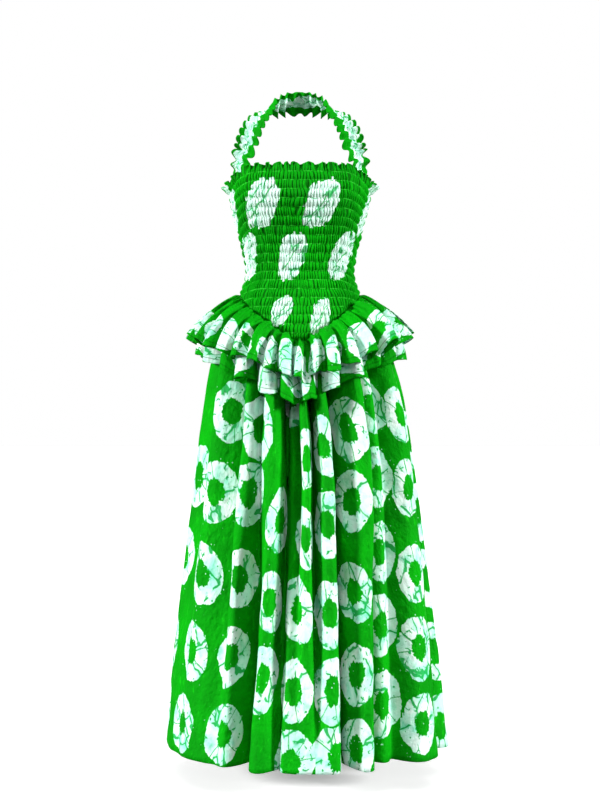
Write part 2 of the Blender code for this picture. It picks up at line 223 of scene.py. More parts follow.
RUFFLE_SLOPE_STEPS = 12
V_TIP_GAP = 0.0030
V_TIP_TURN = 9.0

# How much more steeply the hem hangs at centre front, and how far its height wanders, over what run.
FRONT_HANG = 0.75
RUFFLE_UNEVEN = 0.010
RUFFLE_UNEVEN_RUN = 0.040

# Small gathers below the ruffles' seam, and creases all over them
RUFFLE_GATHER = 0.026
RUFFLE_GATHER_DEPTH = 0.0034
RUFFLE_CREASE = Crease(0.034, 0.10, 0.0060)

# Rings of the ruffles: half sizes, distance apart, and the share of them with a disc in the middle
RUFFLE_RING_HALF_WIDTH = 0.070
RUFFLE_RING_HALF_HEIGHT = 0.045
RUFFLE_RING_PITCH = 0.148
RUFFLE_DISCS = 0.35

# The stitch line above each hem: its height, and how far from its middle it fades out and is full
STITCH_ABOVE_HEM = 0.010
STITCH_FADED, STITCH_FULL = 0.0016, 0.0006

# Halter: its middle line on the +X side, from inside the bodice to the nape, and the way it faces.
Station = namedtuple("Station", "x y z face_x face_y face_z")
HALTER = [
    Station(0.1310, -0.052, -0.130, 0.60, -0.74, 0.30),
    Station(0.1210, -0.055, -0.106, 0.48, -0.76, 0.42),
    Station(0.1120, -0.046, -0.074, 0.40, -0.66, 0.62),
    Station(0.0970, -0.026, -0.042, 0.38, -0.42, 0.82),
    Station(0.0790, 0.002, -0.019, 0.42, -0.08, 0.90),
    Station(0.0590, 0.031, 0.001, 0.55, 0.35, 0.76),
    Station(0.0320, 0.053, 0.012, 0.40, 0.70, 0.58),
    Station(0.0000, 0.060, 0.016, 0.00, 0.85, 0.52),
]
TUCK_TURN = 66.0
TUCK_DEPTHS = [0.016, 0.003]
TUCK_CLEARANCE = 0.0058
HALTER_PLAIN_END = 0.014
HALTER_FULL_WAVE = 0.060
HALTER_HALF_WIDTH = 0.029
HALTER_SCALLOP = 0.11
HALTER_OUTER_TILT = 27
HALTER_INNER_TILT = 13
HALTER_SHIFT = 0.0028
HALTER_RUFFLES = 28
HALTER_STEPS_PER_RUFFLE = 16
HALTER_ACROSS = 25
HALTER_RINGS_START = 0.02
HALTER_RING_PITCH = 0.055
HALTER_RING_HALF_WIDTH = 0.032
HALTER_RING_HALF_HEIGHT = 0.0165
# The strap has no stitch line, so its print starts this far above where one would be.
HALTER_PRINT_START = 0.1

# Bodice print: places and half sizes of the gathered-up rings, how far their tops lean over, and how square
# they are (2 is round).
Patch = namedtuple("Patch", "turn z half_width half_height")
PATCH_LEAN = 0.46
PATCH_SQUARENESS = 2.8
PATCHES = [
    Patch(-33, -0.229, 0.041, 0.058),
    Patch(18, -0.233, 0.038, 0.059),
    Patch(-80, -0.240, 0.030, 0.045),
    Patch(76, -0.252, 0.024, 0.050),
    Patch(-87, -0.196, 0.022, 0.014),
    Patch(84, -0.192, 0.026, 0.014),
    Patch(-63, -0.352, 0.030, 0.056),
    Patch(-8.5, -0.350, 0.032, 0.055),
    Patch(46, -0.350, 0.032, 0.055),
    Patch(-16, -0.474, 0.026, 0.036),
    Patch(17, -0.491, 0.026, 0.047),
    Patch(108, -0.345, 0.036, 0.052),
    Patch(128, -0.250, 0.038, 0.042),
    Patch(152, -0.360, 0.036, 0.052),
    Patch(172, -0.262, 0.040, 0.045),
    Patch(196, -0.355, 0.036, 0.052),
    Patch(214, -0.250, 0.038, 0.044),
    Patch(238, -0.360, 0.034, 0.050),
]

# What each cloth was cut to, flat: its width, its length and its area.
Cut = namedtuple("Cut", "width length area")

# Linear colours of the dyed cloth. The bright green is a painted highlight. The vein green also stands for
# painted shade in the bodice's gather valleys. The darkest green is the stitch line and painted shade in
# those valleys.
GREEN = (0.0006, 0.310, 0.002, 1)
DEEP_GREEN = (0.0004, 0.215, 0.002, 1)
PAINTED_HIGHLIGHT_GREEN = (0.010, 0.580, 0.008, 1)
VEIN_AND_SHADE_GREEN = (0.002, 0.340, 0.050, 1)
THREAD_GREEN = (0.050, 0.680, 0.050, 1)
STITCH_AND_SHADE_GREEN = (0.0004, 0.090, 0.001, 1)
WHITE = (0.700, 0.840, 0.775, 1)
MINT = (0.440, 0.780, 0.640, 1)
TEAL = (0.060, 0.600, 0.360, 1)

# Depth of the crumples in the surface, and the weave's thread pitch
CRUMPLE_DEPTH = 0.0048
SHIRRED_CRUMPLE_DEPTH = 0.0008
THREAD_PITCH = 0.00055

# Floor
FLOOR_HALF_SIZE = 14.0
FLOOR_BELOW_DRESS = 0.062

# Soft lights: the way to each one, its strength, and how wide it is, in degrees
Light = namedtuple("Light", "name direction strength angle")
LIGHTS = [
    Light("left", (-1.0, -0.11, 0.32), 5.5, 12),
    Light("right", (1.0, -0.11, 0.32), 5.0, 12),
    Light("front", (0.0, -1.0, 0.45), 0.56, 20),
    Light("overhead", (0.0, -0.35, 1.0), 0.88, 36),
    Light("back", (0.3, 1.0, 0.25), 1.5, 40),
]
SURROUND_STRENGTH = 0.03

# Camera: level, in front of the dress
CAMERA_AWAY = 3.5
CAMERA_Z = -0.60
CAMERA_LENS = 68.49
CAMERA_FILM_HEIGHT = 36
CAMERA_SHIFT_Y = -0.04


def eased(x):
    """0 to 1 with a soft start and end."""
    x = np.clip(x, 0.0, 1.0)
    return x * x * (3 - 2 * x)


def soft_noise(seed, x, y):
    """Smooth random values from -1 to 1 over a plane, one lattice step apart."""
    cells = 128
    lattice = np.random.default_rng(seed).uniform(-1, 1, (cells, cells))
    x, y = np.broadcast_arrays(x, y)
    i, j = np.floor(x).astype(int), np.floor(y).astype(int)
    a, b = eased(x - i), eased(y - j)
    i, j, i_next, j_next = i % cells, j % cells, (i + 1) % cells, (j + 1) % cells
    low = lattice[i, j] * (1 - a) + lattice[i_next, j] * a
    high = lattice[i, j_next] * (1 - a) + lattice[i_next, j_next] * a
    return low * (1 - b) + high * b


def figure_at(z):
    """Half width, front depth and back depth of the figure at heights z, from a smooth curve."""
    table = np.array(FIGURE)
    last = len(table) - 1
    z = np.clip(z, table[last, 0], table[0, 0])
    i = np.clip(np.searchsorted(-table[:, 0], -z, side="right") - 1, 0, last - 1)
    before, low, high, after = (table[np.clip(i + k, 0, last)] for k in (-1, 0, 1, 2))
    share = ((z - low[..., 0]) / (high[..., 0] - low[..., 0]))[..., None]
    before, low, high, after = (v[..., 1:] for v in (before, low, high, after))
    start, end = (high - before) / 2, (after - low) / 2
    cubic = 3 * (high - low) - 2 * start - end + share * (2 * (low - high) + start + end)
    return np.moveaxis(low + share * (start + share * cubic), -1, 0)


def ring_point(widths, turn, z):
    """Points of level sections, at turns from centre front."""
    half_width, front, back = widths
    side, ahead = np.sin(turn), np.cos(turn)
    square = 1 + FIGURE_SQUARENESS * np.sin(2 * turn) ** 2
    depth = np.where(ahead > 0, front, back)
    return np.stack([half_width * side * square, -depth * ahead * square, z + 0 * turn], axis=-1)


def ring_outward(widths, turn):
    """Level directions straight out of the sections."""
    half_width, front, back = widths
    side, ahead = np.sin(turn), np.cos(turn)
    depth = np.where(ahead > 0, front, back)
    out = np.stack([side / half_width, -ahead / depth, 0 * turn], axis=-1)
    return out / np.linalg.norm(out, axis=-1, keepdims=True)


def from_front(turn):
    """Turns as values from -pi to pi."""
    return (turn + math.pi) % TAU - math.pi


def top_z(turn):
    """The bodice's top edge."""
    round_front = np.abs(from_front(turn))
    side_share = eased((round_front - math.radians(38)) / math.radians(52))
    back_share = eased((round_front - math.pi / 2) / (math.pi / 2))
    return TOP_FRONT_Z + (TOP_SIDE_Z - TOP_FRONT_Z) * side_share + (TOP_BACK_Z - TOP_SIDE_Z) * back_share


def hip_z(turn):
    """The hip seam: a V at the front, nearly level at the back."""
    share = (1 - np.hypot(np.sin(turn), V_TIP_ROUND)) / (1 - V_TIP_ROUND)
    front = HIP_SIDE_Z + (V_TIP_Z - HIP_SIDE_Z) * np.maximum(0.0, share)
    back = HIP_SIDE_Z + (HIP_BACK_Z - HIP_SIDE_Z) * np.cos(turn) ** 2
    return np.where(np.cos(turn) < 0, back, front)


def below_tip(turn):
    """How much lower the pieces under the V start at its tip."""
    return V_TIP_GAP * np.exp(-((from_front(turn) / math.radians(V_TIP_TURN)) ** 2))


def grid_normals(points):
    """Unit normals of a grid, pointing out of the garment."""
    down, round_it = np.gradient(points, axis=0), np.gradient(points, axis=1)
    normal = np.cross(down, round_it)
    return normal / np.maximum(np.linalg.norm(normal, axis=-1, keepdims=True), 1e-12)


def run_across(points):
    """How far along its row each point of a grid lies."""
    steps = np.linalg.norm(np.diff(points, axis=1), axis=-1)
    return np.concatenate([np.zeros((len(points), 1)), np.cumsum(steps, axis=1)], axis=1)


# A motif of the print: its place on the grid, its half sizes, how far its top leans over, a random number,
# and 1 for a disc in its middle or 0 for none.
Motif = namedtuple("Motif", "row column half_width half_height lean seed disc")


def motif_places(across, down, motifs):
    """Each point's place in every motif, in half sizes of that motif."""
    places = []
    for m in motifs:
        dv = (down - down[m.row, m.column]) / m.half_height
        du = (across - across[:, m.column : m.column + 1]) / m.half_width - m.lean * dv
        places.append(np.stack([du, dv], axis=-1))
    return np.array(places)


def shell_quads(rows, columns):
    """Faces of a closed shell over two grids of points, the outer one first."""
    index = np.arange(rows * columns).reshape(rows, columns)
    inside = index + rows * columns

    def between(a, b):
        return np.stack([a[:-1], b[:-1], b[1:], a[1:]], axis=-1)

    outer = np.stack([index[:-1, :-1], index[1:, :-1], index[1:, 1:], index[:-1, 1:]], axis=-1)
    outer = outer.reshape(-1, 4)
    rims = [
        between(inside[0], index[0]),
        between(index[-1], inside[-1]),
        between(index[:, 0], inside[:, 0]),
        between(inside[:, -1], index[:, -1]),
    ]
    return np.concatenate([outer, outer[:, ::-1] + rows * columns, *rims])


def set_uv(mesh, name, values):
    """A UV map from one pair of values for each face corner."""
    layer = mesh.uv_layers.new(name=name)
    layer.data.foreach_set("uv", np.ascontiguousarray(values, dtype=np.float32).ravel())


def cloth_shell(name, points, thickness, across, down, motifs, material, extra_map=None):
    """A thin closed shell over a grid, with the print's places and the cloth's own sizes as UV maps."""
    rows, columns = points.shape[:2]
    normals = grid_normals(points)
    lift = normals * (thickness / 2)
    both = np.concatenate([(points + lift).reshape(-1, 3), (points - lift).reshape(-1, 3)])
    quads = shell_quads(rows, columns)
    mesh = bpy.data.meshes.new(name)
    mesh.from_pydata(both.tolist(), [], quads.tolist())
    mesh.validate()

    corners = quads % (rows * columns)
    row, column = corners // columns, corners % columns
    places = motif_places(across, down, motifs)
    cell = (np.minimum(row.min(axis=1), rows - 1), np.minimum(column.min(axis=1), columns - 1))
    nearest = np.argmin((places[:, cell[0], cell[1]] ** 2).sum(axis=-1), axis=0)
    set_uv(mesh, "Motif", places[nearest[:, None], row, column])
    facts = np.array([(m.seed, m.disc) for m in motifs])
    set_uv(mesh, "MotifFacts", np.broadcast_to(facts[nearest][:, None], (*quads.shape, 2)))
    set_uv(mesh, "Cloth", np.stack([across[row, column], down[row, column]], axis=-1))
    if extra_map is not None:
        set_uv(mesh, "Gather", extra_map[row, column])

    mesh.materials.append(material)
    mesh.shade_smooth()
    obj = bpy.data.objects.new(name, mesh)
    bpy.context.scene.collection.objects.link(obj)
    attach(obj, "root")
    return obj


def declare(node):
    """Hides the part of model.glb that a cloth stands for."""
    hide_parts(node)


def fold_line(folds, share):
    """Each fold's turn, in radians, height and cover at shares from the top, 0, to the hem, 1."""
    table = np.array(folds)
    share = np.asarray(share)[..., None]
    kept = np.clip(share, 0, 1)
    turn = np.radians(table[:, 1] + (table[:, 2] - table[:, 1]) * share)
    height = table[:, 3] + (table[:, 4] - table[:, 3]) * kept
    cover = table[:, 5] + (table[:, 6] - table[:, 5]) * kept
    return turn, height * table[:, 0], cover


def fold_path(folds, place, share):
    """Turn, height and reach along the cloth, for places counted in folds, at shares from top to hem.

    Each flank is a smooth curve of four control points, from a crest to a valley. With no cover it is a soft
    wave. A covering flank keeps level for longer and reaches out over the valley before it drops.
    """
    kinds = np.array([f.kind for f in folds])
    turn, height, cover = fold_line(folds, share)
    turn = np.concatenate([turn[..., -1:] - TAU, turn, turn[..., :1] + TAU], axis=-1)
    height = np.concatenate([height[..., -1:], height, height[..., :1]], axis=-1)
    cover = np.concatenate([cover[..., -1:], cover, cover[..., :1]], axis=-1)
    kinds = np.concatenate([kinds[-1:], kinds, kinds[:1]])

    i = np.clip(np.floor(place).astype(int) + 1, 0, len(folds))
    u = place + 1 - i
    rows = np.arange(turn.shape[0])[:, None]
    from_crest = kinds[i] > 0
    crest, valley = np.where(from_crest, i, i + 1), np.where(from_crest, i + 1, i)
    # The crest after a valley covers it when cover is +1, and that flank runs from the valley to the crest.
    lap = np.where(from_crest, -cover[rows, valley], cover[rows, valley])
    sharp = np.abs(lap)
    c = np.where(from_crest, u, 1 - u)
    first, second, last = 3 * (1 - c) ** 2 * c, 3 * (1 - c) * c**2, c**3
    across = first * (0.36 + 0.29 * sharp + 0.25 * lap) + second * (0.64 + 0.31 * sharp + 0.17 * lap) + last
    fall = second * (1 - 0.42 * sharp - 0.22 * lap) + last
    span = turn[rows, valley] - turn[rows, crest]
    turns = turn[rows, crest] + span * c
    heights = height[rows, crest] + (height[rows, valley] - height[rows, crest]) * fall
    return turns, heights, span * (across - c)


def fold_places(folds, start, end, radius, step):
    """Places counted in folds from one side seam to the other, evenly spaced along the cloth at the hem."""
    fine = np.linspace(-1, len(folds), 60 * (len(folds) + 1))
    turns = fold_path(folds, fine[None] * (1 - 1e-12), np.ones((1,)))[0]
    low, high = np.interp([math.radians(start), math.radians(end)], turns[0], fine)
    fine = np.linspace(low, high, 4000)
    turns, heights, reaches = fold_path(folds, fine[None], np.ones((1,)))
    run = np.hypot(np.diff((turns + reaches)[0]) * radius, np.diff(heights[0]))
    run = np.concatenate([[0], np.cumsum(run)])
    return np.interp(np.linspace(0, run[-1], int(run[-1] / step)), run, fine)


def spread(start, end, drop, length):
    """A skirt's reach at a drop below the hip seam: it swells over the gathers, then widens evenly."""
    return start + BULGE * (1 - np.exp(-drop / BULGE_DEPTH)) + (end - start - BULGE) * drop / length


def skirt_panel(side, material):
    """Half of the skirt, from the hip seam to the hem and from one side seam to the other."""
    start, end = SIDES[side]
    places = fold_places(SKIRT_FOLDS, start, end, HEM.half_width, SKIRT_STEP)
    places = np.broadcast_to(places, (SKIRT_ROWS, len(places)))
    share = np.linspace(0, 1, SKIRT_ROWS)[:, None]

    # Fold lines are charted from FOLDS_TOP_Z to the hem, and run on a little above that.
    rough_turns = fold_path(SKIRT_FOLDS, places, share[:, 0])[0]
    hip = hip_z(rough_turns) - SKIRT_START
    fold_share = (FOLDS_TOP_Z - (hip + (HEM_Z - hip) * share)).mean(axis=1) / (FOLDS_TOP_Z - HEM_Z)
    fold_share = np.clip(fold_share, -0.15, 1)
    turns, heights, reaches = fold_path(SKIRT_FOLDS, places, fold_share)
    hip = hip_z(turns) - SKIRT_START - below_tip(turns)
    length = hip - HEM_Z
    drop = share * length
    top = figure_at(hip)
    widths = [spread(a, b, drop, length) for a, b in zip(top, HEM[1:])]
    outward = ring_outward(widths, turns)
    along = np.stack([-outward[..., 1], outward[..., 0], 0 * turns], axis=-1)
    grown = eased(drop / FOLD_FULL_DROP)
    radius = (widths[0] + widths[1]) / 2
    points = ring_point(widths, turns, hip - drop)
    points += outward * (heights * grown)[..., None] + along * (reaches * radius * grown)[..., None]
    points[..., 0] += SKIRT_SHIFT_X * eased(share / SKIRT_SHIFT_BY)
    points[..., 2] -= HEM_LIFT * heights * share

    across, down = run_across(points), points[..., 2]
    normals = grid_normals(points)
    for number, crease in enumerate(SKIRT_CREASES):
        seed = 40 + number + (10 if side == "back" else 0)
        depth = crease.depth * soft_noise(seed, across / crease.across, down / crease.down)
        points += normals * (depth * eased(drop / CREASES_FULL_DROP))[..., None]

    motifs = skirt_motifs(side, turns + reaches, fold_share, points[..., 2])
    down = HEM_Z - points[..., 2]
    obj = cloth_shell(f"skirt_{side}_cloth", points, CLOTH, across, down, motifs, material)
    declare(f"skirt_{side}")


def skirt_motifs(side, turns, fold_share, heights):
    """The rings of a skirt panel, in columns that follow the folds."""
    random = np.random.default_rng(7 if side == "front" else 8)
    columns = FRONT_RINGS
    if side == "back":
        columns = []
        for k, turn in enumerate(np.arange(BACK_RINGS_START, BACK_RINGS_END, BACK_RING_TURN)):
            first = BACK_RINGS_TOP_Z - (RING_PITCH / 2 if k % 2 else 0)
            levels = []
            for n in range(BACK_RINGS_DOWN):
                shift = random.uniform(-BACK_RING_SHIFT, BACK_RING_SHIFT)
                levels.append(first - RING_PITCH * n + shift)
            columns.append(RingColumn(turn, turn, levels))
    motifs = []
    for column in columns:
        for z in column.heights:
            row = int(np.argmin(np.abs(heights.mean(axis=1) - z)))
            share = fold_share[row]
            turn = math.radians(column.turn_top + (column.turn_hem - column.turn_top) * share)
            place = int(np.argmin(np.abs(turns[row] - turn)))
            row = int(np.argmin(np.abs(heights[:, place] - z)))
            size = 1 + RING_VARIATION * random.uniform(-1, 1)
            motifs.append(
                Motif(
                    row, place, RING_HALF_WIDTH * size, RING_HALF_HEIGHT * size,
                    random.uniform(-RING_LEAN, RING_LEAN), random.random(), 1,
                )
            )
    return motifs


def ruffle_folds(ruffle):
    """Crests and valleys of a ruffle, the valleys midway, uneven from wave to wave."""
    folds = []
    ends = [*ruffle.crests[1:], ruffle.crests[0] + 360]
    for i, (crest, following) in enumerate(zip(ruffle.crests, ends)):
        wide = min(1.0, (following - crest) / 14)
        height = ruffle.wave * (1 + 0.25 * math.sin(2.4 * i)) * (0.5 + 0.5 * wide)
        folds.append(Fold(1, crest, crest, height, height))
        cover = (-1, 0.6, 1, -0.8)[i % 4]
        middle = crest + (following - crest) * (0.5 + 0.12 * cover)
        folds.append(Fold(-1, middle, middle, height, height, cover, cover))
    return folds


def peplum_panel(place, side, material):
    """Half of the upper or the lower ruffle, which curves out and down from the hip seam."""
    ruffle = RUFFLES[place]
    folds = ruffle_folds(ruffle)
    start, end = SIDES[side]
    places = fold_places(folds, start, end, RUFFLE_RADIUS, RUFFLE_STEP)
    share = np.linspace(0, 1, RUFFLE_ROWS)[:, None]
    shape = (RUFFLE_ROWS, len(places))
    turns, heights, reaches = fold_path(folds, np.broadcast_to(places, shape), np.ones(RUFFLE_ROWS))
    ahead = np.maximum(np.cos(turns), 0) ** 2
    slope_top = ruffle.slope_top + ruffle.front_rise * ahead
    slope_hem = ruffle.slope_hem * (1 - FRONT_HANG * ahead)
    z = hip_z(turns) + ruffle.lift - (below_tip(turns) if ruffle.lift < 0 else 0)
    widths = figure_at(z)
    outward = ring_outward(widths, turns)
    along = np.stack([-outward[..., 1], outward[..., 0], 0 * turns], axis=-1)

    # The slope changes evenly down the ruffle, so its reach and drop are summed in steps.
    steps = RUFFLE_SLOPE_STEPS
    reach, drop = np.zeros_like(share), np.zeros_like(share)
    for i in range(steps):
        slope = np.radians(slope_top + (slope_hem - slope_top) * share * (i + 0.5) / steps)
        reach = reach + np.sin(slope) * ruffle.length * share / steps
        drop = drop + np.cos(slope) * ruffle.length * share / steps
    slope = np.radians(slope_top + (slope_hem - slope_top) * share)
    up = np.array([0.0, 0.0, 1.0])
    lifted = outward * np.cos(slope)[..., None] + up * np.sin(slope)[..., None]
    radius = widths[0] + reach
    grown = share**0.6
    points = ring_point(widths, turns, z) + outward * (ruffle.clearance + reach)[..., None]
    points -= up * drop[..., None]
    points += lifted * (heights * grown)[..., None] + along * (reaches * radius * grown)[..., None]

    across = run_across(points)[-1:] + np.zeros(shape)
    down = ruffle.length * (1 - share) + np.zeros(shape)
    normals = grid_normals(points)
    gather_phase = TAU * across / RUFFLE_GATHER + 3 * soft_noise(3, across / 0.05, 0)
    gathers = RUFFLE_GATHER_DEPTH * np.sin(gather_phase)
    gathers = gathers * eased(share / 0.08) * (1 - eased(share / 0.75))
    crease = RUFFLE_CREASE
    creases = crease.depth * soft_noise(21, across / crease.across, down / crease.down)
    creases = creases * eased(share / 0.15)
    points += normals * (gathers + creases)[..., None]
    points[..., 2] += RUFFLE_UNEVEN * soft_noise(23, across / RUFFLE_UNEVEN_RUN, 0) * share

    random = np.random.default_rng(31 if place == "upper" else 32)
    motifs = []
    for centre in np.arange(ruffle.ring_start, across.max() + 0.1, RUFFLE_RING_PITCH):
        column = int(np.argmin(np.abs(across[-1] - centre)))
        row = int(RUFFLE_ROWS * ruffle.ring_drop / ruffle.length)
        disc = float(random.random() < RUFFLE_DISCS)
        size = 1 + 0.15 * random.uniform(-1, 1)
        motifs.append(
            Motif(
                row, column, RUFFLE_RING_HALF_WIDTH * size, RUFFLE_RING_HALF_HEIGHT * size,
                random.uniform(-0.4, 0.4), random.random(), disc,
            )
        )
    obj = cloth_shell(f"peplum_{place}_{side}_cloth", points, CLOTH, across, down, motifs, material)
    declare(f"peplum_{place}_{side}")


def bodice_panel(side, material):
    """Half of the shirred bodice, from its free heading to the hip seam."""
    start, end = (math.radians(t) for t in SIDES[side])
    turns = np.linspace(start, end, BODICE_COLUMNS)[None] + np.zeros((BODICE_ROWS, 1))
    top, hip = top_z(turns), hip_z(turns)
    share = np.linspace(0, 1, BODICE_ROWS)[:, None]
    z = top + (hip - top) * share
    rows = (top - z) * (TOP_FRONT_Z - ROWS_LEVEL_Z) / ((top - ROWS_LEVEL_Z) * ROW_PITCH)
    widths = figure_at(z)
    base = ring_point(widths, turns, z)
    outward = ring_outward(widths, turns)

    # Gathers shift a little from row to row, and are pinched at each row of elastic.
    around = turns / TAU
    band = np.floor(rows)
    gather = GATHERS_ROUND * around + 0.5 * soft_noise(11, around * 90, rows * 0.8)
    gather = gather + 0.8 * soft_noise(15, around * 46, band * 7.3)
    ridge = 1 - np.abs(2 * (gather % 1) - 1) ** 2.0
    between = np.sin(math.pi * (rows % 1)) ** 0.6
    strength = 0.80 + 0.45 * soft_noise(12, around * 80, band * 5.1)
    puff = (0.25 + 0.75 * between) * GATHER_DEPTH * ridge * strength + ROW_DEPTH * between
    puff *= eased((z - hip) / SEAM_FADE)

    frill = 1 - eased(rows)
    waves = HEADING_WAVES_ROUND * around + 0.9 * soft_noise(13, around * 60, 0 * rows)
    wave = HEADING_WAVE * np.sin(TAU * waves) * (1 + 0.5 * soft_noise(14, around * 50, 0 * rows))
    flare = HEADING_FLARE * np.sin(turns) ** 8
    shaped = puff * (1 - frill) + (wave + flare) * np.clip(1 - rows, 0, 1)
    points = base + outward * shaped[..., None]
    points[..., 2] += 0.0036 * np.cos(TAU * waves * 0.5 + 1) * frill

    across, down = run_across(base), z - HEM_Z
    gather_map = np.stack([gather, rows], axis=-1)
    random = np.random.default_rng(51)
    motifs = []
    for patch in PATCHES:
        seed = random.random()
        turn = math.radians(patch.turn)
        if not start - 0.3 < turn < end + 0.3:
            continue
        column = int(np.argmin(np.abs(turns[0] - turn)))
        row = int(np.argmin(np.abs(z[:, column] - patch.z)))
        motifs.append(Motif(row, column, patch.half_width, patch.half_height, PATCH_LEAN, seed, 0))
    obj = cloth_shell(
        f"bodice_{side}_cloth", points, SHIRRED_CLOTH, across, down, motifs, material, gather_map
    )
    declare(f"bodice_{side}")


def curve_through(points, count):
    """Points evenly spread by index along a smooth curve through the given ones."""
    place = np.arange(count + 1) * (len(points) - 1) / count
    i = np.minimum(place.astype(int), len(points) - 2)
    share = (place - i)[:, None]
    last = len(points) - 1
    before, low, high, after = (points[np.clip(i + k, 0, last)] for k in (-1, 0, 1, 2))
    start, end = (high - before) / 2, (after - low) / 2
    cubic = 3 * (high - low) - 2 * start - end + share * (2 * (low - high) + start + end)
    return low + share * (start + share * cubic)


def halter_line(count):
    """The halter's middle line and the way it faces, evenly spaced, and how far along it each point is."""
    turn = np.array(math.radians(TUCK_TURN))
    tucked = []
    for depth in TUCK_DEPTHS:
        z = top_z(turn) - depth
        widths = figure_at(z)
        outward = ring_outward(widths, turn)
        tucked.append([*(ring_point(widths, turn, z) - outward * TUCK_CLEARANCE), *outward])
    half = np.array(tucked + [list(s) for s in HALTER])
    mirrored = half * np.array([-1, 1, 1, -1, 1, 1])
    fine = curve_through(np.concatenate([half, mirrored[-2::-1]]), 8 * count)
    run = np.concatenate([[0], np.cumsum(np.linalg.norm(np.diff(fine[:, :3], axis=0), axis=1))])
    even = np.linspace(0, run[-1], count + 1)
    line = np.stack([np.interp(even, run, fine[:, k]) for k in range(6)], axis=-1)
    facing = line[:, 3:] / np.linalg.norm(line[:, 3:], axis=1, keepdims=True)
    return line[:, :3], facing, even


def halter_strap(material):
    """A strap gathered along its middle: each edge is a frill that tips up and lies down in turn."""
    count = HALTER_RUFFLES * HALTER_STEPS_PER_RUFFLE
    line, face, run = halter_line(count)
    ahead = np.gradient(line, axis=0)
    ahead /= np.linalg.norm(ahead, axis=1, keepdims=True)
    across = np.cross(ahead, face)
    across /= np.linalg.norm(across, axis=1, keepdims=True)
    face = np.cross(across, ahead)
    from_end = np.minimum(run, run[-1] - run)
    full = eased((from_end - HALTER_PLAIN_END) / (HALTER_FULL_WAVE - HALTER_PLAIN_END))[:, None]

    share = np.linspace(-1, 1, HALTER_ACROSS)[None]
    edge = np.abs(share)
    phase = TAU * run[:, None] / run[-1] * HALTER_RUFFLES
    phase = phase + np.where(share > 0, 1.1, 0.0)
    phase = phase + 1.3 * soft_noise(61, run[:, None] / 0.03, np.sign(share) * 3)
    lift = np.where(share > 0, HALTER_OUTER_TILT, HALTER_INNER_TILT)
    rising = np.clip(ahead[:, 2:] / 0.3, -1, 1)
    lift = lift * (0.4 + 0.6 * np.abs(rising))
    tilt = full * edge**0.5 * (math.radians(12) + np.radians(lift) * np.sin(phase))
    shift = np.where(share < 0, HALTER_SHIFT, 0) * full * edge * rising * np.sin(phase)
    wide = HALTER_HALF_WIDTH * (0.84 + 0.16 * full + HALTER_SCALLOP * full * rising * np.cos(phase))
    body = full * (0.005 + 0.003 * np.sin(phase)) * (1 - edge**2)
    points = line[:, None] + (across[:, None] * (share * wide * np.cos(tilt))[..., None])
    points = points + face[:, None] * (edge * wide * np.sin(tilt) + body)[..., None]
    points = points + ahead[:, None] * shift[..., None]

    points = points.transpose(1, 0, 2)[::-1]
    rows, columns = points.shape[:2]
    along = np.broadcast_to(run, (rows, columns))
    down = np.broadcast_to((share * HALTER_HALF_WIDTH).T[::-1], (rows, columns)) + HALTER_PRINT_START
    random = np.random.default_rng(71)
    motifs = []
    for centre in np.arange(HALTER_RINGS_START, run[-1], HALTER_RING_PITCH):
        column = int(np.argmin(np.abs(run - centre)))
        row = rows // 2 + int(random.integers(-3, 4))
        motifs.append(
            Motif(
                row, column, HALTER_RING_HALF_WIDTH, HALTER_RING_HALF_HEIGHT,
                random.uniform(-0.5, 0.5), random.random(), 0,
            )
        )
    obj = cloth_shell("halter_cloth", points, CLOTH, along, down, motifs, material)
    declare("halter_strap")


class Graph:
    """A material's nodes, with short calls to add and join them."""

    def __init__(self, name):
        self.material = bpy.data.materials.new(name)
        self.material.use_nodes = True
        self.tree = self.material.node_tree
        self.shader = self.tree.nodes["Principled BSDF"]

    def node(self, kind, inputs=(), **settings):
        node = self.tree.nodes.new(kind)
        for key, value in settings.items():
            setattr(node, key, value)
        for key, value in dict(inputs).items():
            self.plug(node.inputs[key], value)
        return node

    def plug(self, socket, value):
        if isinstance(value, bpy.types.NodeSocket):
            self.tree.links.new(value, socket)
        else:
            socket.default_value = value

    def uv(self, name):
        return self.node("ShaderNodeUVMap", uv_map=name).outputs[0]

    def math(self, operation, *values):
        return self.node("ShaderNodeMath", dict(enumerate(values)), operation=operation).outputs[0]

    def vector(self, operation, *values):
        node = self.node("ShaderNodeVectorMath", operation=operation)
        for socket, value in zip(node.inputs, values):
            self.plug(socket, value)
        return node.outputs["Value" if operation in ("LENGTH", "DOT_PRODUCT", "DISTANCE") else "Vector"]

    def scaled(self, vector, amount):
        node = self.node("ShaderNodeVectorMath", {"Vector": vector, "Scale": amount}, operation="SCALE")
        return node.outputs["Vector"]

    def split(self, vector):
        return self.node("ShaderNodeSeparateXYZ", {0: vector}).outputs

    def join(self, x, y, z=0.0):
        return self.node("ShaderNodeCombineXYZ", {0: x, 1: y, 2: z}).outputs[0]

    def step(self, value, low, high):
        """0 at low and 1 at high, softly between."""
        node = self.node("ShaderNodeMapRange", {0: value, 1: low, 2: high}, interpolation_type="SMOOTHSTEP")
        return node.outputs[0]

    def noise(self, place, scale, detail=2.0, roughness=0.5):
        """Smooth noise about 0.5."""
        inputs = {"Vector": place, "Scale": scale, "Detail": detail, "Roughness": roughness}
        return self.node("ShaderNodeTexNoise", inputs).outputs[0]

    def random(self, place, dimensions):
        """A random value from 0 to 1 for each place."""
        node = self.node("ShaderNodeTexWhiteNoise", {"Vector": place}, noise_dimensions=dimensions)
        return node.outputs[0]

    def cells(self, place, scale, feature="DISTANCE_TO_EDGE"):
        """Random cells: the distance to their edges, or to their middles with F1."""
        inputs = {"Vector": place, "Scale": scale, "Randomness": 1.0}
        return self.node("ShaderNodeTexVoronoi", inputs, feature=feature).outputs

    def mix(self, share, a, b):
        node = self.node("ShaderNodeMix", data_type="RGBA")
        self.plug(node.inputs[0], share)
        self.plug(node.inputs[6], a)
        self.plug(node.inputs[7], b)
        return node.outputs[2]


